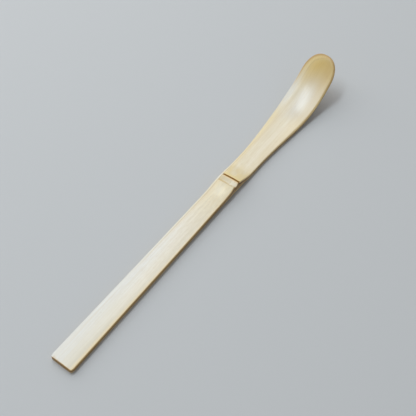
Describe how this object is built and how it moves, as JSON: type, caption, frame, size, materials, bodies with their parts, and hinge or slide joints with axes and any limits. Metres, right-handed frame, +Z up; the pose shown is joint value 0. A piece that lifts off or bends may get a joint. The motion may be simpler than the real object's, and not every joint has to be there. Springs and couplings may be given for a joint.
{
  "type": "tea scoop",
  "caption": "Slim bamboo tea scoop with a flat handle, a raised growth node and an upturned, hollowed, rounded tip for lifting powdered tea.",
  "frame": {"origin": "on the table under the middle of the scoop's length and width", "axes": "+X from the cut butt end to the tip, +Y across the strip, +Z up out of the skin side"},
  "size_m": [0.1812, 0.0162, 0.0189],
  "materials": {
    "handle_bamboo": "satin bleached bamboo skin",
    "node_bamboo": "satin bamboo node with a dark growth scar",
    "scoop_bamboo": "satin bamboo skin, toasted golden towards the bent tip"
  },
  "bodies": {
    "root": {"handle": "handle_bamboo", "node_band": "node_bamboo", "scoop": "scoop_bamboo"}
  },
  "joints": []
}
